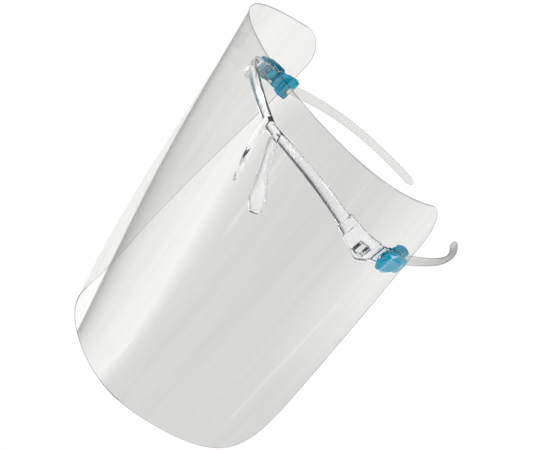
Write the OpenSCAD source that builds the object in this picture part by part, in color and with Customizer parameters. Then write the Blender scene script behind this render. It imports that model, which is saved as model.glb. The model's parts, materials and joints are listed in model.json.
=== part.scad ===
// Glasses-type face shield: a large bent clear film held on two pegs at the
// ends of a clear spectacle front, with folding side arms.
// Frame: +X is the wearer's left, -Y is forward, +Z is up. The origin lies on
// the nose, midway between the two pads.

/* [Film] */
// Width of the film when flat
film_w = 286.8; // [275:0.2:292]
// Height of the film when flat
film_h = 214.6; // [195:0.2:225]
// Thickness of the film
film_t = 0.3; // [0.2:0.05:0.5]
// Radius of the two top corners
top_r = 21; // [15:1:28]
// Half-width of the rounding at each bottom corner
bot_rx = 101; // [80:1:115]
// Height of the rounding at each bottom corner
bot_ry = 77; // [60:1:95]
// Fullness of the bottom corners
bot_full = 0.38; // [0:0.02:0.5]
// Distance from the side edge to the peg hole
hole_inset = 21.2; // [17:0.1:25]
// Distance from the top edge to the peg hole
hole_drop = 33; // [28:1:40]
// Turning angle reached by the film at the level of its top edge
wrap_top = 95.4; // [92:0.2:98]
// Arc length over which the turning builds up
wrap_len = 137.8; // [132:0.2:145]
// How much sooner the turning builds up towards the lower edge
wrap_short = 75.8; // [50:0.2:80]
// Rise of the top edge towards the sides
top_rise = 10.4; // [0:0.2:12]
// How far the lower edge sweeps back
sweep_back = 69; // [50:0.5:75]
// How far forward the lower side edges are drawn
draw_out = 19.4; // [0:0.2:25]
// Tilt of the film about the pegs
film_tilt = -1.7; // [-4:0.1:4]

/* [Peg] */
// Radius of the film peg
peg_r = 3; // [2.5:0.1:3.4]
// Radial clearance between peg and film hole
peg_gap = 0.06; // [0.03:0.01:0.09]

/* [Front] */
// Forward reach of the bridge from the pegs
bridge_y = 48.5; // [44:0.5:52]
// Height of the brow bar at the bridge
brow_h0 = 5.4; // [4:0.1:6]
// Height of the brow bar at the lugs
brow_h1 = 8; // [6:0.1:9]
// Thickness of the brow bar
brow_t = 4; // [3:0.1:5]
// Thickness of the lug plates
lug_t = 3; // [2.4:0.1:3.2]
// Width of the square window in each lug
window_w = 6.4; // [5:0.1:7.5]

/* [Temples] */
// Distance from the hinge axis back to the arm's tip
arm_len = 124; // [100:0.5:124]
// Height of the arm at its root
arm_h0 = 7.8; // [6:0.1:8.4]
// Height of the arm near its tip
arm_h1 = 5.6; // [4:0.1:6]
// Thickness of the arm
arm_t = 3; // [2.4:0.1:3.4]
// Radius of the hinge knuckles
knuckle_r = 3.2; // [2.8:0.1:3.3]
// Radius of the hinge pin
pin_r = 0.9; // [0.8:0.05:1.1]
// Radial clearance between pin and arm
pin_gap = 0.05; // [0.03:0.01:0.08]

/* [Hidden] */
$fn = 48;

// the shapes below are written about the point midway between the film pegs;
// placed() moves them so that the origin is at the nose
pegs_at = [0, 28, 34];
module placed() { translate(pegs_at) children(); }

clear_col = [0.90, 0.92, 0.92, 0.45];
film_col  = [0.84, 0.86, 0.85, 0.30];
blue_col  = [0.10, 0.58, 0.76, 0.85];
pin_col   = [0.22, 0.66, 0.80, 1];

// overlap that joins touching parts
overlap = 0.01;

// ---------------------------------------------------------------- helpers
function total(list, i = 0) = i < len(list) ? list[i] + total(list, i + 1) : 0;
function flat(lists) = [for (list = lists, item = list) item];
function unit(v) = v / norm(v);
function xyz(v) = [v[0], v[1], v[2]];
function mix(a, b, share) = a * (1 - share) + b * share;
// power that keeps the sign of its base
function signed_pow(base, power) = sign(base) * pow(abs(base), power);

// list item, with the index held within the list
function pick(list, i) = list[min(max(i, 0), len(list) - 1)];
// Catmull-Rom point on a list of stations at t in [0, len - 1]
function spline(list, t) = let (
    i = min(floor(t), len(list) - 2),
    u = t - i,
    a = pick(list, i - 1),
    b = pick(list, i),
    c = pick(list, i + 1),
    d = pick(list, i + 2))
    0.5 * ((2 * b) + (c - a) * u + (2 * a - 5 * b + 4 * c - d) * u * u
           + (3 * b - a - 3 * c + d) * u * u * u);

// two triangles on the points first, first + p, first + q and first + p + q
function quad(first, p, q) = [[first, first + p, first + q],
                              [first + q, first + p, first + p + q]];

// superellipse ring about a centre, with half-axes along dir_a and dir_b
function ring(centre, dir_a, dir_b, half_a, half_b, power, sides) =
    [for (i = [0 : sides - 1]) let (angle = 360 * i / sides)
        centre + dir_a * half_a * signed_pow(cos(angle), power)
               + dir_b * half_b * signed_pow(sin(angle), power)];

// closed skin over a list of equal rings
module skin(rings) {
    n = len(rings[0]);
    last = len(rings) - 1;
    polyhedron(points = flat(rings), faces = concat(
        [[for (i = [0 : n - 1]) i]],
        [[for (i = [n - 1 : -1 : 0]) last * n + i]],
        flat([for (k = [0 : last - 1], i = [0 : n - 1])
            quad(k * n + i, n, (i + 1) % n - i)])), convexity = 6);
}

// round rod on the X axis from x0 to x1
module x_rod(r, x0, x1) {
    translate([x0, 0, 0]) rotate([0, 90, 0]) cylinder(r = r, h = x1 - x0);
}

// extrudes a [y, z] outline from x0 to x1
module x_extrude(x0, x1) {
    translate([x0, 0, 0]) rotate([90, 0, 90]) linear_extrude(height = x1 - x0) children();
}

// ------------------------------------------------------------------- film
// s is the distance along the sheet from its middle, h the distance below the
// top edge, and level is 1 at level_drop below the top edge
level_drop = 220;
side_reach = 140;   // s at which the rise and the draw-out are full
rise_fade = 120;    // h at which the rise has faded out
arc_steps = 24;
film_columns = 26;  // on each side of the middle

// half-width of the flat sheet at h
function half_width(h) = let (v = (h - film_h + bot_ry) / bot_ry)
    h < top_r ? film_w / 2 - top_r + sqrt(max(0, top_r * top_r - pow(top_r - h, 2)))
    : v > 0 ? film_w / 2 - bot_rx + bot_rx * sqrt(max(0, 1 - v * v)) * (1 + bot_full * v * v)
    : film_w / 2;

// full turning angle at a level
function wrap(level) = wrap_top - 22.5 * level - 45.8 * pow(level, 2) + 31 * pow(level, 3);
// turning angle reached at s
function turn(s, level) = let (
    built = sin(90 * min(s / (wrap_len - wrap_short * level * level), 1)))
    wrap(level) * (0.67 * built + 0.33 * pow(built, 3));

// film point [x, y, z, turning angle] before it is set on the pegs
function film_raw(s, h) = let (
    side = s / side_reach,
    drop = h - top_rise * side * side * max(0, 1 - h / rise_fade),
    level = drop / level_drop,
    angles = [for (i = [0 : arc_steps - 1]) turn(s * (i + 0.5) / arc_steps, level)],
    x = total([for (angle = angles) cos(angle)]) * s / arc_steps,
    y = total([for (angle = angles) sin(angle)]) * s / arc_steps)
    [x, y + sweep_back * signed_pow(level, 0.92) - draw_out * level * side * side,
     -drop, turn(s, level)];

hole_raw = film_raw(film_w / 2 - hole_inset, hole_drop);
// half distance between the peg holes
peg_x = hole_raw[0];

// sets a raw point on the pegs, tilted about them
function settle(p) = let (y = p[1] - hole_raw[1], z = p[2] - hole_raw[2])
    [p[0], y * cos(film_tilt) - z * sin(film_tilt), y * sin(film_tilt) + z * cos(film_tilt)];
// direction out of the film where it has turned by an angle
function out_dir(angle) =
    [sin(angle), -cos(angle) * cos(film_tilt), -cos(angle) * sin(film_tilt)];

// h of each row: top corners, straight sides, bottom corners
film_rows = concat(
    [for (i = [0 : 5]) top_r * (1 - cos(15 * i))],
    [for (i = [1 : 9]) mix(top_r, film_h - bot_ry, i / 9)],
    [for (i = [1 : 10]) film_h - bot_ry + bot_ry * sin(9 * i)]);

// one row of points across the film, raised off its inner face
function film_row(h, raised) = let (half = [for (i = [0 : film_columns])
        let (p = film_raw(half_width(h) * i / film_columns, h))
        settle(p) + raised * out_dir(p[3])])
    concat([for (i = [film_columns : -1 : 1]) [-half[i][0], half[i][1], half[i][2]]], half);

module visor_film() {
    rows = len(film_rows);
    cols = 2 * film_columns + 1;
    outer = rows * cols;  // index of the first point of the outer face
    bottom = outer - cols;
    inner_points = [for (h = film_rows) film_row(h, 0)];
    outer_points = [for (h = film_rows) film_row(h, film_t)];
    color(film_col) placed() difference() {
        polyhedron(points = concat(flat(inner_points), flat(outer_points)), faces = concat(
            // inner and outer faces
            flat([for (r = [0 : rows - 2], c = [0 : cols - 2]) let (a = r * cols + c)
                concat(quad(a, cols, 1), quad(outer + a, 1, cols))]),
            // top and bottom edges
            flat([for (c = [0 : cols - 2])
                concat(quad(c, 1, outer), quad(bottom + c, outer, 1))]),
            // side edges
            flat([for (r = [0 : rows - 2]) let (a = r * cols)
                concat(quad(a, outer, cols), quad(a + cols - 1, cols, outer))])),
            convexity = 8);
        for (side = [-1, 1])
            x_rod(peg_r + peg_gap, side * peg_x - 4, side * peg_x + 4);
    }
}

// ------------------------------------------------------------ front frame
brow_end = 61;    // half-length of the brow bar
brow_scale = 66;  // x at which the terms of the brow curves are full
function brow_y(x) = let (u = abs(x) / brow_scale) -bridge_y + 18.4 * u * u + 10.4 * pow(u, 4);
function brow_z(x) = let (u = abs(x) / brow_scale) -0.5 - 1.4 * u * u - 9.9 * pow(u, 4) + 8.7 * u;

module brow_bar() {
    // stations lie closer together towards the ends
    xs = [for (i = [-20 : 20]) brow_end * mix(i / 20, sin(90 * i / 20), 0.35)];
    skin([for (x = xs) let (
        u = abs(x) / brow_end,
        along = unit([1, (brow_y(x + 0.1) - brow_y(x - 0.1)) / 0.2, 0]),
        height = mix(brow_h0, brow_h1, pow(u, 2)),
        thick = mix(brow_t, 0.7 * brow_t, pow(u, 3)))
        ring([x, brow_y(x), brow_z(x)], [0, 0, 1], [along[1], -along[0], 0],
             height / 2, thick / 2, 0.75, 16)]);
}

// upright plate that follows a path of [x, y] stations
module strip(path, thick) {
    n = 12;
    points = [for (i = [0 : n]) spline(path, i * (len(path) - 1) / n)];
    sideways = [for (i = [0 : n])
        let (along = unit(pick(points, i + 1) - pick(points, i - 1))) [along[1], -along[0]]];
    translate([0, 0, -14]) linear_extrude(height = 24) polygon(concat(
        [for (i = [0 : n]) points[i] + sideways[i] * thick / 2],
        [for (i = [n : -1 : 0]) points[i] - sideways[i] * thick / 2]));
}

// centre line of the lug, [x, y], from the brow bar back to the peg plate
lug_path = [[57.5, brow_y(57.5) - 1.4], [61.8, brow_y(61.8) - 1.2], [65.6, -22.8],
            [68, -18.4], [69.2, -13], [peg_x - 3, -8]];

// thin plate behind the lug that carries the film peg
plate_x = peg_x - 3.3;
plate_back = 8;
plate_bottom = -5.6;
plate_h = 9.6;

// one lug, for the +X side: a curved plate cut to a rounded outline, and the peg plate
module lug() {
    difference() {
        union() {
            intersection() {
                strip(lug_path, lug_t);
                x_extrude(0, 90) difference() {
                    hull() {
                        translate([-28.5, 0.9]) circle(r = 4.6);
                        translate([-22, -0.4]) circle(r = 5.2);
                        translate([-15.5, -3.2]) circle(r = 6.4, $fn = 48);
                        translate([-10.5, -7]) square([2.6, 11]);
                    }
                    translate([-17.2, -3.6]) square([window_w, window_w], center = true);
                }
            }
            translate([plate_x, plate_back - 16.5, plate_bottom]) cube([2, 16.5, plate_h]);
            x_rod(4.6, plate_x, plate_x + 2.2);
        }
        // seat of the film peg
        x_rod(peg_r - overlap, peg_x - 9, peg_x + 3);
    }
}

// stations down the +X nose arm and its pad: [x, y, z, half-width, half-thickness]
nose_stations = [
    [5.4, -bridge_y + 0.5, -0.6, 3, 2.2],
    [6.8, -45.8, -7.4, 2.9, 2.1],
    [8.2, -41.6, -15.2, 2.8, 2],
    [9.6, -36.8, -23, 3.2, 1.8],
    [11.2, -31, -31, 4.7, 1.5],
    [12.2, -26.6, -37.5, 4.8, 1.4],
    [13.2, -23, -43, 2.8, 1.1]];
// direction square to the width of the arm
nose_facing = unit([0.53, -0.8, 0.2]);

module nose_arm() {
    n = 24;
    last = len(nose_stations) - 1;
    skin([for (i = [0 : n]) let (
        t = last * i / n,
        here = spline(nose_stations, t),
        along = unit(xyz(spline(nose_stations, min(t + 0.05, last))
                         - spline(nose_stations, max(t - 0.05, 0)))),
        wide = unit(cross(along, nose_facing)))
        ring(xyz(here), wide, cross(along, wide), here[3], here[4], 1, 14)]);
}

module front_frame() {
    color(clear_col) placed() union() {
        brow_bar();
        for (side = [0, 1]) mirror([side, 0, 0]) {
            lug();
            nose_arm();
        }
    }
}

// ------------------------------------------------------------ hinge block
hinge_x = peg_x - 5.6;
hinge_y = 17;
// the two knuckles reach from knuckle_bottom to knuckle_top, with the slot between
knuckle_bottom = -8;
slot_bottom = -4.6;
slot_top = 0.6;
knuckle_top = 5.4;
knuckle_gap = 0.5;  // radial room round a knuckle

// cylinder on the hinge axis from z0 to z1
module hinge_rod(r, z0, z1) {
    translate([hinge_x, hinge_y, z0]) cylinder(r = r, h = z1 - z0);
}

module hinge_block() {
    neck_x = peg_x - 5.2;
    neck_z = -6.2;
    neck_h = 10.8;
    web_y = 11.6;
    slot_h = slot_top - slot_bottom;
    difference() {
        union() {
            // neck that clasps the rear edge of the peg plate
            translate([neck_x, 5.2, neck_z]) cube([3.9, 4, neck_h]);
            translate([neck_x, plate_back, neck_z]) cube([3, 5.8, neck_h]);
            translate([neck_x, 4.4, -4.4]) cube([1.9, 2, 7.2]);
            // two knuckles with a web forward to the neck
            difference() {
                union() {
                    hinge_rod(knuckle_r, knuckle_bottom, knuckle_top);
                    translate([hinge_x - 2.2, web_y, knuckle_bottom])
                        cube([5.2, hinge_y - web_y, knuckle_top - knuckle_bottom]);
                }
                hinge_rod(knuckle_r + knuckle_gap, slot_bottom, slot_top);
                translate([hinge_x - 6, hinge_y, slot_bottom]) cube([12, 8, slot_h]);
            }
        }
        // pocket for the peg plate
        translate([plate_x + overlap, -8, plate_bottom + overlap])
            cube([2.6, plate_back + 8 - overlap, plate_h - 2 * overlap]);
        // pin bore
        hinge_rod(pin_r, knuckle_bottom - 1, knuckle_bottom + 19);
    }
}
module hinge_block_left() { color(blue_col) placed() hinge_block(); }
module hinge_block_right() { color(blue_col) placed() mirror([1, 0, 0]) hinge_block(); }

// -------------------------------------------------------------- film clip
// outlines seen from the side, [y, z]
clip_outline = [[-8.6, -2.6], [-7.2, 4.6], [-2, 6], [4.5, 5.6], [11.5, 4.6], [14, 1.5],
                [13.4, -4.6], [8, -5.2], [2.6, -7.6], [-4.6, -6.6]];
// field inside the raised border on the inner face
clip_field = [[-5.6, -3], [-5.6, 3.2], [9.6, 3.2], [11.4, 0.6], [11, -3], [6, -3.4],
              [2.2, -5.4], [-3.6, -4.6]];
// front wall: foot and ridge
wall_foot = [[-8.4, -2.6], [-7.2, 4.4], [0.6, 5.6], [2.6, -7.4], [-4.6, -6.4]];
wall_ridge = [[-7, -4.2], [-8, 3.4], [-6.8, 4], [-5.4, -4.8]];
// sloping face: foot and crest
slope_foot = [[-7, 4.2], [0, 5.4], [9.6, 3.6], [12, 0.6], [11.6, -3.6], [7.6, -4.2],
              [2.6, -7.2], [-4.4, -6]];
slope_crest = [[-6.6, 3.2], [-5.2, -4.6], [2, -5.4], [8.4, -1.6], [6.4, 2.4]];

// x is measured outward from the film hole
module film_clip() {
    translate([peg_x, 0, 0]) {
        difference() {
            union() {
                x_extrude(1.4, 3.2) polygon(clip_outline);
                // steep front wall and a long sloping face that meet in a ridge
                hull() {
                    x_extrude(3, 3.2) polygon(wall_foot);
                    x_extrude(5.1, 5.2) polygon(wall_ridge);
                }
                hull() {
                    x_extrude(3, 3.2) polygon(slope_foot);
                    x_extrude(4.7, 4.8) polygon(slope_crest);
                }
            }
            x_extrude(1, 2.1) polygon(clip_field);
        }
        // collar round the peg
        difference() {
            x_rod(4.3, 0.8, 2.4);
            x_rod(3.7, 0.4, 1.2);
        }
        // film peg
        x_rod(peg_r, -3.9, 2.4);
    }
}
module film_clip_left() { color(blue_col) placed() film_clip(); }
module film_clip_right() { color(blue_col) placed() mirror([1, 0, 0]) film_clip(); }

// ---------------------------------------------------------------- temples
// centre line of the +X arm, u = 0 at the hinge and 1 at the tip
function arm_at(u) = [hinge_x + 0.4 - 4 * u - 36 * pow(u, 2.3),
                      hinge_y + arm_len * u,
                      -1.6 + 15.8 * u - 12.5 * u * u];
tip_start = 0.97;  // u at which the tip begins to round off

module temple() {
    n = 34;
    tongue_bottom = slot_bottom + 0.15;
    tongue_top = slot_top - 0.15;
    difference() {
        union() {
            skin([for (i = [0 : n]) let (
                u = min(i / n, 0.9999),
                tip = u > tip_start ? sqrt(max(0, 1 - pow((u - tip_start) / 0.034, 2))) : 1,
                root = min(1, 0.72 + 3 * u),
                along = unit(arm_at(u + 0.002) - arm_at(max(0, u - 0.002))),
                sideways = unit([along[1], -along[0], 0]),
                height = root * tip * mix(arm_h1, arm_h0, exp(-5 * u)),
                thick = (0.3 + 0.7 * tip) * mix(arm_t, arm_t + 1, u))
                ring(arm_at(u) + [0, 1.6 * (1 - u), 0], cross(sideways, along), sideways,
                     height / 2, thick / 2, 0.8, 14)]);
            hinge_rod(knuckle_r, tongue_bottom, tongue_top);
        }
        hinge_rod(pin_r + pin_gap, -20, 20);
        // room for the block's knuckles when the arm folds
        hinge_rod(knuckle_r + knuckle_gap, -14, tongue_bottom);
        hinge_rod(knuckle_r + knuckle_gap, tongue_top, 14);
    }
}
module temple_left() { color(clear_col) placed() temple(); }
module temple_right() { color(clear_col) placed() mirror([1, 0, 0]) temple(); }

// -------------------------------------------------------------- hinge pin
module hinge_pin() {
    hinge_rod(pin_r, knuckle_bottom, knuckle_top + 0.2);
    // head
    hinge_rod(pin_r + 0.8, knuckle_top, knuckle_top + 0.6);
}
module hinge_pin_left() { color(pin_col) placed() hinge_pin(); }
module hinge_pin_right() { color(pin_col) placed() mirror([1, 0, 0]) hinge_pin(); }

front_frame();
visor_film();
hinge_block_left();
hinge_block_right();
film_clip_left();
film_clip_right();
temple_left();
temple_right();
hinge_pin_left();
hinge_pin_right();
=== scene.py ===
# A clear visor: a thin bent sheet of film hung on two pegs of a spectacle frame, with a
# moulded front frame, blue hinge blocks and film clips, pale temple arms and hinge pins.
# +X is the wearer's left, -Y is forwards and +Z is up. The film and the camera are worked
# out in millimetres from the point midway between the pegs; all else is in metres.
import bpy
import json
import math
import numpy as np
from mathutils import Matrix, Vector


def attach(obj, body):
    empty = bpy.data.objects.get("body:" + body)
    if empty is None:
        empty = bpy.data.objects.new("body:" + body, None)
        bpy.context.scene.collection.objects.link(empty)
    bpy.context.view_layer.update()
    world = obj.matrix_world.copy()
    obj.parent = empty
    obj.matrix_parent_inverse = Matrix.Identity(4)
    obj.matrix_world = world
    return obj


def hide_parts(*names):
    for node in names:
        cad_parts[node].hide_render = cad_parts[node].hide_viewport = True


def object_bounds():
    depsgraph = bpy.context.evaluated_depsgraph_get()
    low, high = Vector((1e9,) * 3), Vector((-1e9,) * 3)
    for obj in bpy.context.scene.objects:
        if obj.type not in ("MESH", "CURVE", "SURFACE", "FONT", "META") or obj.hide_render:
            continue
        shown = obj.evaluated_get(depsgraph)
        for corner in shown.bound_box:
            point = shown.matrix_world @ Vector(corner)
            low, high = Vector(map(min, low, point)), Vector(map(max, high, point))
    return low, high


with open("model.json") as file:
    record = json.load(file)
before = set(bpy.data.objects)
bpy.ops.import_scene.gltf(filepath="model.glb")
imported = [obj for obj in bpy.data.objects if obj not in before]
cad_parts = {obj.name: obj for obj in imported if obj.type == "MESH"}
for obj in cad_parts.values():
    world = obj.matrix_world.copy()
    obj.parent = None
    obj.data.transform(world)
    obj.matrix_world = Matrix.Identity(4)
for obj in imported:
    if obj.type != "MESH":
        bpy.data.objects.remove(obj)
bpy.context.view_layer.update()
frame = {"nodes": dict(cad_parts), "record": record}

scene = bpy.context.scene
MM = 0.001


# ---------------------------------------------------------------- mesh helpers
def link(ob):
    scene.collection.objects.link(ob)
    return ob


def set_smooth(mesh):
    mesh.polygons.foreach_set("use_smooth", [True] * len(mesh.polygons))


def mesh_object(name, verts, faces):
    mesh = bpy.data.meshes.new(name)
    mesh.from_pydata([tuple(map(float, v)) for v in verts], [],
                     [tuple(map(int, f)) for f in faces])
    mesh.validate()
    mesh.update()
    return link(bpy.data.objects.new(name, mesh))


def apply_modifiers(ob):
    depsgraph = bpy.context.evaluated_depsgraph_get()
    mesh = bpy.data.meshes.new_from_object(ob.evaluated_get(depsgraph), depsgraph=depsgraph)
    ob.modifiers.clear()
    old = ob.data
    ob.data = mesh
    bpy.data.meshes.remove(old)


def relax(mesh, rounds, shrink=0.5, swell=-0.52):
    """Taubin smoothing: rounds the edges a mould would round and doesn't shrink the part."""
    count = len(mesh.vertices)
    places = np.zeros(count * 3)
    mesh.vertices.foreach_get("co", places)
    places = places.reshape(-1, 3)
    ends = np.zeros(len(mesh.edges) * 2, np.int64)
    mesh.edges.foreach_get("vertices", ends)
    start, end = ends.reshape(-1, 2).T
    neighbours = np.bincount(start, minlength=count) + np.bincount(end, minlength=count)
    neighbours = np.maximum(neighbours, 1)[:, None]
    for _ in range(rounds):
        for step in (shrink, swell):
            total = np.zeros_like(places)
            for i in range(3):
                total[:, i] = (np.bincount(start, places[end, i], count)
                               + np.bincount(end, places[start, i], count))
            places = places + step * (total / neighbours - places)
    mesh.vertices.foreach_set("co", places.ravel())
    mesh.update()


def moulded(node, name, body, voxel, rounds, material):
    """A dense skin over a CAD node's own shape, with its edges softened as by a mould."""
    ob = link(bpy.data.objects.new(name, frame["nodes"][node].data.copy()))
    ob.data.materials.clear()
    remesh = ob.modifiers.new("voxel", "REMESH")
    remesh.mode = "VOXEL"
    remesh.voxel_size = voxel
    remesh.use_smooth_shade = True
    apply_modifiers(ob)
    relax(ob.data, rounds)
    set_smooth(ob.data)
    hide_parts(node)
    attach(ob, body)
    ob.data.materials.append(material)


# ---------------------------------------------------------------- shader helpers
def feed(tree, value, socket):
    """Links value to the socket if it is an output, or else sets it as the socket's value."""
    if isinstance(value, bpy.types.NodeSocket):
        tree.links.new(value, socket)
    else:
        socket.default_value = value


def add_node(tree, kind, **inputs):
    """Adds a shader node. In the names of its inputs, an underscore stands for a space."""
    node = tree.nodes.new("ShaderNode" + kind)
    for name, value in inputs.items():
        feed(tree, value, node.inputs[name.replace("_", " ")])
    return node


def new_material(name):
    """The material, its empty node tree and the socket its shader goes to."""
    material = bpy.data.materials.new(name)
    material.use_nodes = True
    tree = material.node_tree
    tree.nodes.clear()
    return material, tree, add_node(tree, "OutputMaterial").inputs["Surface"]


def object_coords(tree):
    return add_node(tree, "TexCoord").outputs["Object"]


def noise(tree, coords, scale, detail, roughness=0.5, stretch=(1.0, 1.0, 1.0)):
    mapping = add_node(tree, "Mapping", Vector=coords, Scale=stretch)
    return add_node(tree, "TexNoise", Vector=mapping.outputs["Vector"], Scale=scale,
                    Detail=detail, Roughness=roughness).outputs["Fac"]


def ramp(tree, factor, stops):
    """A colour ramp through (position, grey level or RGB) stops."""
    node = add_node(tree, "ValToRGB", Fac=factor)
    elements = node.color_ramp.elements
    while len(elements) < len(stops):
        elements.new(0.5)
    for element, (position, colour) in zip(elements, stops):
        element.position = position
        element.color = (*colour, 1) if isinstance(colour, tuple) else (colour,) * 3 + (1,)
    return node.outputs["Color"]


def calc(tree, operation, *values):
    node = add_node(tree, "Math")
    node.operation = operation
    for i, value in enumerate(values):
        feed(tree, value, node.inputs[i])
    return node.outputs[0]


def multiply_colours(tree, first, second):
    node = tree.nodes.new("ShaderNodeMix")
    node.data_type = "RGBA"
    node.blend_type = "MULTIPLY"
    node.inputs["Factor"].default_value = 1.0
    tree.links.new(first, node.inputs["A"])
    tree.links.new(second, node.inputs["B"])
    return node.outputs["Result"]


def mix_shaders(tree, factor, first, second):
    node = add_node(tree, "MixShader", Fac=factor)
    tree.links.new(first, node.inputs[1])
    tree.links.new(second, node.inputs[2])
    return node.outputs["Shader"]


def transparent(tree, **inputs):
    return add_node(tree, "BsdfTransparent", **inputs).outputs["BSDF"]


def facing(tree):
    """0 where the surface faces the eye, 1 where it is edge on."""
    return add_node(tree, "LayerWeight", Blend=0.5).outputs["Facing"]


def plastic_shader(tree, colour, gloss_noise, roughness, bump_noise, bump,
                   transmission, ior, specular=0.5):
    """roughness is (low, high); bump is (strength, distance in metres)."""
    low, high = roughness
    strength, distance = bump
    relief = add_node(tree, "Bump", Strength=strength, Distance=distance, Height=bump_noise)
    return add_node(
        tree, "BsdfPrincipled", Base_Color=colour,
        Roughness=ramp(tree, gloss_noise, [(0.3, low), (0.75, high)]),
        Transmission_Weight=transmission, IOR=ior, Specular_IOR_Level=specular,
        Normal=relief.outputs["Normal"]).outputs["BSDF"]


# ---------------------------------------------------------------- film materials
# Painted reflection: grey painted into the film's see-through tint by the direction it
# mirrors,
# as (degrees round the studio, grey): a pale wall, the dark gap at its edge, then the room
# fading back to grey.
PAINTED_ROOM_REFLECTION = [
    (0, 0.655), (8, 0.66), (30, 0.70), (50, 0.76), (70, 0.84), (100, 0.90), (138, 0.95),
    (144.2, 0.94), (145, 0.34), (147, 0.44), (149.5, 0.52), (153, 0.62), (158, 0.71),
    (165, 0.78), (180, 0.84), (200, 0.88), (208, 0.78), (216, 0.71), (228, 0.67),
    (300, 0.65), (360, 0.655)]
# Painted reflection: grey of the inner skin by how far it faces away, as (facing, grey)
INNER_SKIN_PAINTED_REFLECTION = [(0.0, 0.87), (0.45, 0.87), (0.6, 0.84), (0.85, 0.86), (0.96, 0.92)]
DIP_START = 14.0     # degrees below level at which the mirrored room starts to skew
DIP_RATE = 1.3       # degrees round the room for each further degree down


def film_coords(tree):
    uv_map = add_node(tree, "UVMap")
    uv_map.uv_map = "flat"
    return uv_map.outputs["UV"]


def front_side_only(tree, shader):
    """A skin met from behind adds nothing: the other skin of the sheet has done it."""
    behind = add_node(tree, "NewGeometry").outputs["Backfacing"]
    return mix_shaders(tree, behind, shader, transparent(tree))


def painted_room_reflection(tree):
    """Painted reflection: the grey of the room in the direction the surface mirrors, painted
    into the film's tint.
    """
    mirrored = add_node(tree, "TexCoord").outputs["Reflection"]
    axes = add_node(tree, "SeparateXYZ", Vector=mirrored).outputs
    degrees = 180 / math.pi
    around = calc(tree, "MULTIPLY", calc(tree, "ARCTAN2", axes["Y"], axes["X"]), degrees)
    height = calc(tree, "MULTIPLY", calc(tree, "ARCSINE", axes["Z"]), degrees)
    around = calc(tree, "FLOORED_MODULO", around, 360.0)
    below = calc(tree, "MINIMUM", calc(tree, "ADD", height, DIP_START), 0.0)
    dip = calc(tree, "MULTIPLY", below, DIP_RATE)
    around = calc(tree, "FLOORED_MODULO", calc(tree, "ADD", around, dip), 360.0)
    return ramp(tree, calc(tree, "DIVIDE", around, 360.0),
                [(angle / 360.0, grey) for angle, grey in PAINTED_ROOM_REFLECTION])


def film_material(name, outside):
    """A thin clear sheet. It is nearly all see-through; its grey cast is painted reflection,
    on the outer skin by what it mirrors and on the inner skin by how far it faces away, and
    faint flow lines run along the bend, the brightest of them a painted sheen."""
    material, tree, surface = new_material(name)
    coords = film_coords(tree)
    flow = noise(tree, coords, scale=7.0, detail=4, roughness=0.6, stretch=(4.2, 0.20, 1.0))
    haze = noise(tree, coords, scale=3.0, detail=2, stretch=(2.0, 0.8, 1.0))
    cast = ramp(tree, haze, [(0.35, (0.985, 0.985, 0.972)), (0.65, (1.0, 1.0, 0.988))])
    # flow lines along the bend: the darker ones are the film's own, those brightened above 1
    # are a painted sheen
    flow_lines_and_sheen = ramp(tree, flow, [(0.28, 0.955), (0.5, 1.0), (0.62, 1.01), (0.68, 1.09)])
    # painted reflection: the skin's grey tint stands in for the studio it mirrors
    painted_reflection_tone = painted_room_reflection(tree) if outside else ramp(tree, facing(tree), INNER_SKIN_PAINTED_REFLECTION)
    tint = multiply_colours(tree, multiply_colours(tree, painted_reflection_tone, cast), flow_lines_and_sheen)
    clear = transparent(tree, Color=tint)
    gloss = add_node(tree, "BsdfAnisotropic", Color=(0.95, 0.95, 0.94, 1), Roughness=0.05)
    # half the true mirror strength, and never more than a tenth
    fresnel = add_node(tree, "Fresnel", IOR=1.5).outputs["Fac"]
    mirror = calc(tree, "MINIMUM", calc(tree, "MULTIPLY", fresnel, 0.5), 0.10)
    skin = mix_shaders(tree, mirror, clear, gloss.outputs["BSDF"])
    feed(tree, front_side_only(tree, skin), surface)
    return material


def painted_rim_shade_material(name):
    """Painted shade: a darker see-through tint over the last half millimetre of the sheet,
    standing in for light leaving through the cut edge.
    """
    material, tree, surface = new_material(name)
    cloud = noise(tree, film_coords(tree), scale=14, detail=2)
    tint = ramp(tree, cloud, [(0.3, (0.42, 0.42, 0.41)), (0.7, (0.60, 0.60, 0.585))])
    feed(tree, front_side_only(tree, transparent(tree, Color=tint)), surface)
    return material


def painted_cut_shade_material(name):
    """The wall of the cut, through the thickness of the sheet, coloured dark grey as painted
    shade.
    """
    material, tree, surface = new_material(name)
    cloud = noise(tree, object_coords(tree), scale=90, detail=2)
    # painted shade: a dark grey on the clear sheet's cut wall
    colour = ramp(tree, cloud, [(0.3, (0.20, 0.20, 0.195)), (0.7, (0.32, 0.32, 0.31))])
    plastic = add_node(tree, "BsdfPrincipled", Base_Color=colour, Roughness=0.25,
                       Transmission_Weight=0.3)
    feed(tree, plastic.outputs["BSDF"], surface)
    return material


# ---------------------------------------------------------------- plastic materials
def clear_plastic(name, tint):
    material, tree, surface = new_material(name)
    coords = object_coords(tree)
    cloud = noise(tree, coords, scale=55, detail=2)
    fine = noise(tree, coords, scale=420, detail=3)
    pale = tuple(c * 1.03 for c in tint)
    shader = plastic_shader(
        tree, ramp(tree, cloud, [(0.3, tint), (0.7, pale)]),
        gloss_noise=fine, roughness=(0.015, 0.066), bump_noise=cloud, bump=(0.12, 0.0006),
        transmission=1.0, ior=1.585)
    feed(tree, shader, surface)
    return material


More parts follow.
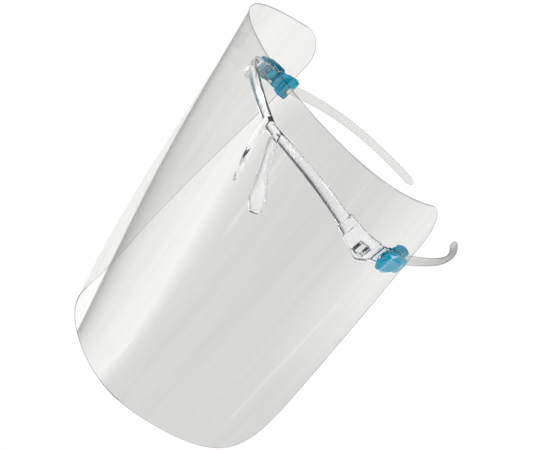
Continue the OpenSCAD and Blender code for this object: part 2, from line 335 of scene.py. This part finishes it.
def blue_plastic(name, deep, light, transmission):
    material, tree, surface = new_material(name)
    coords = object_coords(tree)
    cloud = noise(tree, coords, scale=160, detail=4, roughness=0.6)
    fine = noise(tree, coords, scale=1400, detail=2)
    shader = plastic_shader(
        tree, ramp(tree, cloud, [(0.3, deep), (0.72, light)]),
        gloss_noise=fine, roughness=(0.10, 0.24), bump_noise=fine, bump=(0.15, 0.0002),
        transmission=transmission, ior=1.5, specular=0.35)
    feed(tree, shader, surface)
    return material


# Both as (facing, RGB): the plastic's own colour, and the tint of light passing through; both
# darken towards edge on, which is painted shade
MILKY_COLOUR_AND_EDGE_SHADE = [
    (0.0, (0.60, 0.60, 0.59)), (0.35, (0.56, 0.56, 0.55)), (0.62, (0.46, 0.46, 0.455)),
    (0.80, (0.24, 0.24, 0.24)), (1.0, (0.10, 0.10, 0.10))]
MILKY_TINT_AND_EDGE_SHADE = [
    (0.0, (0.905, 0.905, 0.897)), (0.5, (0.885, 0.885, 0.875)), (0.78, (0.74, 0.74, 0.73)),
    (1.0, (0.45, 0.45, 0.45))]
MILKY_MOTTLE = 0.07  # how far the cloud noise shifts the facing value
MILKY_SOLID = 0.16   # share of plastic against plain see-through


def milky_plastic(name):
    """Pale, mostly see-through plastic; its edges that turn away are darkened grey by painted
    shade.
    """
    material, tree, surface = new_material(name)
    coords = object_coords(tree)
    cloud = noise(tree, coords, scale=70, detail=3)
    fine = noise(tree, coords, scale=700, detail=2)
    mottle = calc(tree, "MULTIPLY", calc(tree, "SUBTRACT", cloud, 0.5), MILKY_MOTTLE)
    # painted shade: the plastic darkens as it turns edge on, shifted by the cloud noise
    edge_shade_facing = calc(tree, "ADD", facing(tree), mottle)
    plastic = plastic_shader(
        tree, ramp(tree, edge_shade_facing, MILKY_COLOUR_AND_EDGE_SHADE),
        gloss_noise=fine, roughness=(0.16, 0.28), bump_noise=cloud, bump=(0.05, 0.0001),
        transmission=0.12, ior=1.40, specular=0.25)
    through = transparent(tree, Color=ramp(tree, edge_shade_facing, MILKY_TINT_AND_EDGE_SHADE))
    feed(tree, mix_shaders(tree, MILKY_SOLID, through, plastic), surface)
    return material


FILM_OUTER = film_material("film", outside=True)
FILM_INNER = film_material("film_inner_skin", outside=False)
FILM_RIM_PAINTED_SHADE = painted_rim_shade_material("film_rim_painted_shade")
FILM_EDGE_PAINTED_SHADE = painted_cut_shade_material("film_edge_painted_shade")
CLEAR = clear_plastic("clear", tint=(0.955, 0.965, 0.965))
MILKY = milky_plastic("arm_milky")
BLUE = blue_plastic("blue", deep=(0.0, 0.25, 0.41), light=(0.0, 0.37, 0.53),
                    transmission=0.35)
PIN_BLUE = blue_plastic("pin", deep=(0.0, 0.30, 0.46), light=(0.03, 0.42, 0.58),
                        transmission=0.25)

# ---------------------------------------------------------------- film shape, in mm
# A place on the film is (across, down): the arc length from its middle line, positive to
# the wearer's left, and the distance below its top edge.
JOINTS = {joint["name"]: joint for joint in frame["record"]["behaviour"]["joints"]}
PEG_MIDDLE = np.array(JOINTS["visor_tilt"]["pos_m"]) / MM
FILM_W, FILM_H, FILM_T = 286.8, 214.6, 0.3
HALF_W = FILM_W / 2
TOP_R = 21.0                       # top corners
BOTTOM_RX, BOTTOM_RY = 101.0, 77.0 # bottom corners, near to quarter ellipses
BOTTOM_FULLNESS = 0.38             # how far they swell beyond the ellipse
BOTTOM_START = FILM_H - BOTTOM_RY
HOLE_INSET, HOLE_DOWN, HOLE_R = 21.2, 33.0, 3.06   # from the side edge, from the top edge
HOLE_ACROSS = HALF_W - HOLE_INSET
# RIM is the width of the band of painted edge shade along the edge
RIM = 0.55                         # darker band along the edge

# The bend
BEND_HALF_W, BEND_H = 140.0, 220.0 # lengths the bend is scaled by
RISE, RISE_END = 10.4, 120.0       # lift of the sides, and how far down it fades out
SWEEP, SWEEP_POWER = 69.0, 0.92    # run backwards towards the bottom
DRAW = 19.4                        # pull of the sides forwards towards the bottom
TILT = math.radians(-1.7)          # about the pegs; the bottom swings forwards
TURN_REACH, REACH_LOSS = 137.8, 75.8   # arc length at which the full turn is reached
FULL_TURN = (95.4, -22.5, -45.8, 31.0) # degrees, a cubic in depth
TURN_LINEAR, TURN_CUBIC = 0.67, 0.33   # how the turn builds up on the way out
ARC_SHARES = (np.arange(48) + 0.5) / 48  # where the heading is sampled along the arc


def heading(across, depth):
    """Angle of the film from the X axis, seen from above."""
    build = np.sin(np.pi / 2 * np.clip(
        across / (TURN_REACH - REACH_LOSS * depth * depth), -1, 1))
    c0, c1, c2, c3 = FULL_TURN
    full = np.radians(c0 + c1 * depth + c2 * depth * depth + c3 * depth ** 3)
    return full * (TURN_LINEAR * build + TURN_CUBIC * build ** 3)


def level(across, down):
    """Distance of a place below the middle of the top edge."""
    out = across / BEND_HALF_W
    return down - RISE * out * out * np.clip(1 - down / RISE_END, 0, None)


def untilted(across, down):
    out = across / BEND_HALF_W
    drop = level(across, down)
    depth = drop / BEND_H
    angles = heading(across[..., None] * ARC_SHARES, depth[..., None])
    x = np.cos(angles).mean(-1) * across
    y = (np.sin(angles).mean(-1) * across
         + SWEEP * np.sign(depth) * np.abs(depth) ** SWEEP_POWER - DRAW * depth * out * out)
    return np.stack([x, y, -drop], -1)


LEFT_HOLE = untilted(np.array([HOLE_ACROSS]), np.array([HOLE_DOWN]))[0]


def film_point(across, down, offset=0.0):
    """Point on the film, from midway between the pegs; offset moves it outwards."""
    point = untilted(across, down)
    y, z = point[..., 1] - LEFT_HOLE[1], point[..., 2] - LEFT_HOLE[2]
    cos, sin = math.cos(TILT), math.sin(TILT)
    angle = heading(across, level(across, down) / BEND_H)
    tilted = np.stack([point[..., 0], y * cos - z * sin, y * sin + z * cos], -1)
    normal = np.stack([np.sin(angle), -np.cos(angle) * cos, -np.cos(angle) * sin], -1)
    return tilted + offset * normal


def half_width(down):
    """Half the width of the flat outline."""
    if down < TOP_R:
        return HALF_W - TOP_R + math.sqrt(max(0, TOP_R ** 2 - (TOP_R - down) ** 2))
    if down > BOTTOM_START:
        share = (down - BOTTOM_START) / BOTTOM_RY
        corner = math.sqrt(max(0, 1 - share * share)) * (1 + BOTTOM_FULLNESS * share * share)
        return HALF_W - BOTTOM_RX + BOTTOM_RX * corner
    return HALF_W


# ---------------------------------------------------------------- film mesh
PATCH = 7.0          # half the side of the square of cells around each hole
PATCH_CELLS = 8
PATCH_TOP = HOLE_DOWN - PATCH
RING_SHARES = (0.0, 0.07, 0.3, 0.6)  # rings of points from the hole to the square
UV_SPAN = 280.0      # length of film that takes up one UV unit
OUTER_SKIN, CUT_EDGE, INNER_SKIN, PAINTED_SHADE_RIM_BAND = range(4)   # material slots


def patch_steps(centre):
    return np.linspace(centre - PATCH, centre + PATCH, PATCH_CELLS + 1)


def grid_columns():
    half = np.concatenate([
        np.linspace(0, HOLE_ACROSS - PATCH, 40)[:-1],
        patch_steps(HOLE_ACROSS)[:-1],
        np.linspace(HOLE_ACROSS + PATCH, HALF_W - RIM, 8),
        [HALF_W]])
    return np.concatenate([-half[::-1][:-1], half])


def grid_rows():
    top = 1 - np.cos(np.linspace(0, np.pi / 2, 16))
    bottom = np.sin(np.linspace(0, np.pi / 2, 34))
    return np.concatenate([
        [0.0],
        RIM + (TOP_R - RIM) * top[:-1],
        np.linspace(TOP_R, PATCH_TOP, 3)[:-1],
        patch_steps(HOLE_DOWN)[:-1],
        np.linspace(HOLE_DOWN + PATCH, BOTTOM_START, 30)[:-1],
        BOTTOM_START + (BOTTOM_RY - RIM) * bottom,
        [FILM_H]])


def hole_edge(side, angle):
    """(across, down) round a hole, solved so that it is round when seen along the peg."""
    edge = np.stack([side * HOLE_ACROSS + HOLE_R * np.cos(angle),
                     HOLE_DOWN + HOLE_R * np.sin(angle)], -1)
    want_y = side * HOLE_R * np.cos(angle)
    want_z = -HOLE_R * np.sin(angle)
    step = 1e-3
    for _ in range(6):  # Newton's method
        here = film_point(edge[:, 0], edge[:, 1])
        by_across = (film_point(edge[:, 0] + step, edge[:, 1]) - here) / step
        by_down = (film_point(edge[:, 0], edge[:, 1] + step) - here) / step
        det = by_across[:, 1] * by_down[:, 2] - by_down[:, 1] * by_across[:, 2]
        miss_y, miss_z = want_y - here[:, 1], want_z - here[:, 2]
        edge[:, 0] += (miss_y * by_down[:, 2] - miss_z * by_down[:, 1]) / det
        edge[:, 1] += (miss_z * by_across[:, 1] - miss_y * by_across[:, 2]) / det
    return edge


def add_hole(side, rows, columns, points, quads):
    """Fills the square round a hole with rings of quads; returns the cells it takes up."""
    top = int(np.argmin(abs(rows - PATCH_TOP)))
    bottom = top + PATCH_CELLS
    first, last = sorted(int(np.argmin(abs(columns - side * (HOLE_ACROSS + reach))))
                         for reach in (-PATCH, PATCH))
    square = ([(top, c) for c in range(first, last)]
              + [(r, last) for r in range(top, bottom)]
              + [(bottom, c) for c in range(last, first, -1)]
              + [(r, first) for r in range(bottom, top, -1)])
    border = [r * len(columns) + c for r, c in square]
    count = len(border)
    outer = np.array([points[k] for k in border])
    angle = np.arctan2(outer[:, 1] - HOLE_DOWN, outer[:, 0] - side * HOLE_ACROSS)
    edge = hole_edge(side, angle)
    rings = []
    for share in RING_SHARES:
        rings.append(range(len(points), len(points) + count))
        points.extend(map(tuple, edge * (1 - share) + outer * share))
    rings.append(border)
    for near, far in zip(rings, rings[1:]):
        for k in range(count):
            following = (k + 1) % count
            quads.append((far[k], far[following], near[following], near[k]))
    return {(r, c) for r in range(top, bottom) for c in range(first, last)}


def flat_film():
    """The flat sheet: its (across, down) points, its quads and which quads are rim."""
    rows, columns = grid_rows(), grid_columns()
    points, quads, rim, taken = [], [], set(), set()
    for down in rows:
        scale = half_width(down) / HALF_W
        points.extend((column * scale, down) for column in columns)
    for side in (1, -1):
        taken |= add_hole(side, rows, columns, points, quads)
    width = len(columns)
    for r in range(len(rows) - 1):
        for c in range(width - 1):
            if (r, c) in taken:
                continue
            if r in (0, len(rows) - 2) or c in (0, width - 2):
                rim.add(len(quads))
            corner = r * width + c
            quads.append((corner, corner + 1, corner + width + 1, corner + width))
    return np.array(points), quads, rim


def open_edges(quads):
    """The edges that belong to only one quad."""
    seen = {}
    for quad in quads:
        for k in range(4):
            edge = (quad[k], quad[(k + 1) % 4])
            key = tuple(sorted(edge))
            seen[key] = None if key in seen else edge
    return [edge for edge in seen.values() if edge is not None]


def build_film():
    points, quads, rim = flat_film()
    count = len(points)
    inner = film_point(points[:, 0], points[:, 1])
    outer = film_point(points[:, 0], points[:, 1], FILM_T)
    verts = (np.concatenate([inner, outer]) + PEG_MIDDLE) * MM

    # turn the quads to face outwards, going by one of them
    a, b, c, _ = quads[len(quads) // 2]
    normal = np.cross(verts[b] - verts[a], verts[c] - verts[a])
    if np.dot(normal, outer[a] - inner[a]) < 0:
        quads = [quad[::-1] for quad in quads]

    faces, slots = [], []
    for k, quad in enumerate(quads):
        faces += [tuple(count + i for i in quad), quad[::-1]]
        # the rim quads take the painted edge shade on both skins
        slots += [PAINTED_SHADE_RIM_BAND, PAINTED_SHADE_RIM_BAND] if k in rim else [OUTER_SKIN, INNER_SKIN]
    for start, end in open_edges(quads):
        faces.append((count + end, count + start, start, end))
        slots.append(CUT_EDGE)

    film = mesh_object("visor_film_sheet", verts, faces)
    mesh = film.data
    for material in (FILM_OUTER, FILM_EDGE_PAINTED_SHADE, FILM_INNER, FILM_RIM_PAINTED_SHADE):
        mesh.materials.append(material)
    mesh.polygons.foreach_set("material_index", slots)
    mesh.polygons.foreach_set("use_smooth", [slot != CUT_EDGE for slot in slots])
    uv_layer = mesh.uv_layers.new(name="flat")
    corners = np.zeros(len(mesh.loops), np.int64)
    mesh.loops.foreach_get("vertex_index", corners)
    flat = np.concatenate([points, points])[corners]
    uvs = np.stack([flat[:, 0] / UV_SPAN + 0.5, flat[:, 1] / UV_SPAN], -1)
    uv_layer.data.foreach_set("uv", uvs.ravel())
    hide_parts("visor_film")
    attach(film, "visor")


build_film()

# ---------------------------------------------------------------- moulded parts
COARSENESS = 1.0
FRONT_VOXEL = 0.00034 * COARSENESS
SMALL_VOXEL = 0.00017 * COARSENESS
ARM_VOXEL = 0.00045 * COARSENESS
PIN_ROUNDING = 0.00015


def finish_pin(side):
    pin = frame["nodes"]["hinge_pin_" + side]
    pin.data.materials.clear()
    pin.data.materials.append(PIN_BLUE)
    bevel = pin.modifiers.new("round", "BEVEL")
    bevel.width = PIN_ROUNDING
    bevel.segments = 3


moulded("front_frame_moulding", "front_frame", body="front", voxel=FRONT_VOXEL, rounds=10,
        material=CLEAR) if False else moulded(
    "front_frame", "front_frame_moulding", body="front", voxel=FRONT_VOXEL, rounds=10,
    material=CLEAR)
for side in ("left", "right"):
    for part in ("hinge_block_", "film_clip_"):
        moulded(part + side, part + side + "_moulding", body="front", voxel=SMALL_VOXEL,
                rounds=6, material=BLUE)
    moulded("temple_" + side, "temple_" + side + "_arm", body=side + "_arm",
            voxel=ARM_VOXEL, rounds=30, material=MILKY)
    finish_pin(side)

# ---------------------------------------------------------------- floor
FLOOR_HALF = 6
FLOOR_GAP = 0.002    # below the lowest point of the product
low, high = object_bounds()


def floor_material(name):
    """White paper, lit from below like a light table so that it looks plain white."""
    material, tree, surface = new_material(name)
    grain = noise(tree, object_coords(tree), scale=300, detail=4)
    colour = ramp(tree, grain, [(0.3, 0.94), (0.7, 0.96)])
    paper = add_node(tree, "BsdfPrincipled", Base_Color=colour, Roughness=0.9,
                     Specular_IOR_Level=0.1)
    glow = add_node(tree, "Emission", Color=colour, Strength=1.07)
    # the camera sees almost only the glow, and everything else sees the paper
    seen = add_node(tree, "LightPath").outputs["Is Camera Ray"]
    glow_share = calc(tree, "MULTIPLY", seen, 0.97)
    feed(tree, mix_shaders(tree, glow_share, paper.outputs["BSDF"],
                           glow.outputs["Emission"]), surface)
    return material


floor_corners = [(x * FLOOR_HALF, y * FLOOR_HALF, low.z - FLOOR_GAP)
                 for x, y in ((-1, -1), (1, -1), (1, 1), (-1, 1))]
floor = mesh_object("floor", floor_corners, [(0, 1, 2, 3)])
floor.data.materials.append(floor_material("floor_paper"))

# ---------------------------------------------------------------- world
WALL_COUNT = 5.0
# (position in the wave round the room, colour), from the gaps to the walls
WALL_STOPS = [(0.0, (0.10, 0.10, 0.105)), (0.28, (0.26, 0.26, 0.27)), (0.45, 0.95), (1.0, 1.0)]


def build_world():
    """Pale walls with darker gaps between them, as seen by glass and gloss; the camera
    itself sees plain white."""
    world = bpy.data.worlds.new("studio")
    scene.world = world
    world.use_nodes = True
    tree = world.node_tree
    tree.nodes.clear()
    output = add_node(tree, "OutputWorld")
    camera_ray = add_node(tree, "LightPath").outputs["Is Camera Ray"]
    direction = add_node(tree, "TexCoord").outputs["Generated"]
    axes = add_node(tree, "SeparateXYZ", Vector=direction).outputs
    around = calc(tree, "ARCTAN2", axes["Y"], axes["X"])
    wave = calc(tree, "SINE", calc(tree, "MULTIPLY", around, WALL_COUNT))
    wave = calc(tree, "MULTIPLY", calc(tree, "ADD", wave, 1.0), 0.5)
    walls = add_node(tree, "Background", Color=ramp(tree, wave, WALL_STOPS), Strength=0.95)
    white = add_node(tree, "Background", Color=(1, 1, 1, 1), Strength=1.0)
    feed(tree, mix_shaders(tree, camera_ray, walls.outputs["Background"],
                           white.outputs["Background"]), output.inputs["Surface"])


build_world()

# ---------------------------------------------------------------- lights
# name, place, width, height (metres), power (watts); all aim at the product's middle
LIGHTS = [
    ("key", (0.5, -0.7, 1.0), 0.7, 0.7, 9),
    ("left", (-1.0, -0.5, 0.4), 0.25, 1.2, 7),
    ("strip_a", (-0.35, -1.1, 0.25), 0.05, 1.2, 3),
    ("strip_b", (0.9, -0.35, 0.2), 0.05, 1.2, 2.5),
    ("back", (0.2, 1.0, 0.7), 0.8, 0.6, 6),
]
middle = (low + high) / 2
for name, place, width, height, power in LIGHTS:
    light = bpy.data.lights.new(name, "AREA")
    light.shape = "RECTANGLE"
    light.size, light.size_y = width, height
    light.energy = power
    lamp = link(bpy.data.objects.new(name, light))
    lamp.location = place
    lamp.rotation_mode = "QUATERNION"
    lamp.rotation_quaternion = (middle - Vector(place)).to_track_quat("-Z", "Y")

# ---------------------------------------------------------------- render settings
scene.view_settings.view_transform = "Standard"
scene.cycles.max_bounces = 20
scene.cycles.transmission_bounces = 16
scene.cycles.transparent_max_bounces = 24
scene.cycles.caustics_refractive = True

# ---------------------------------------------------------------- camera
# In front, to the wearer's left and above, rolled about its line of sight
azimuth, elevation, roll = map(math.radians, (33.588, 20.647, 48.541))
CAMERA_BACK, CAMERA_LEFT, CAMERA_DOWN = 419.2, 29.56, 38.34   # mm from between the pegs

back = Vector((math.sin(azimuth) * math.cos(elevation),
               -math.cos(azimuth) * math.cos(elevation), math.sin(elevation)))
level_right = Vector((math.cos(azimuth), math.sin(azimuth), 0))
level_up = back.cross(level_right)
right = level_right * math.cos(roll) + level_up * math.sin(roll)
up = -level_right * math.sin(roll) + level_up * math.cos(roll)
eye = (back * CAMERA_BACK - right * CAMERA_LEFT - up * CAMERA_DOWN + Vector(PEG_MIDDLE)) * MM

lens = bpy.data.cameras.new("camera")
lens.sensor_width = 36.0
lens.lens = 50.426667
lens.clip_start, lens.clip_end = 0.01, 30
camera = link(bpy.data.objects.new("camera", lens))
camera.matrix_world = Matrix((*zip(right, up, back, eye), (0, 0, 0, 1)))
scene.camera = camera
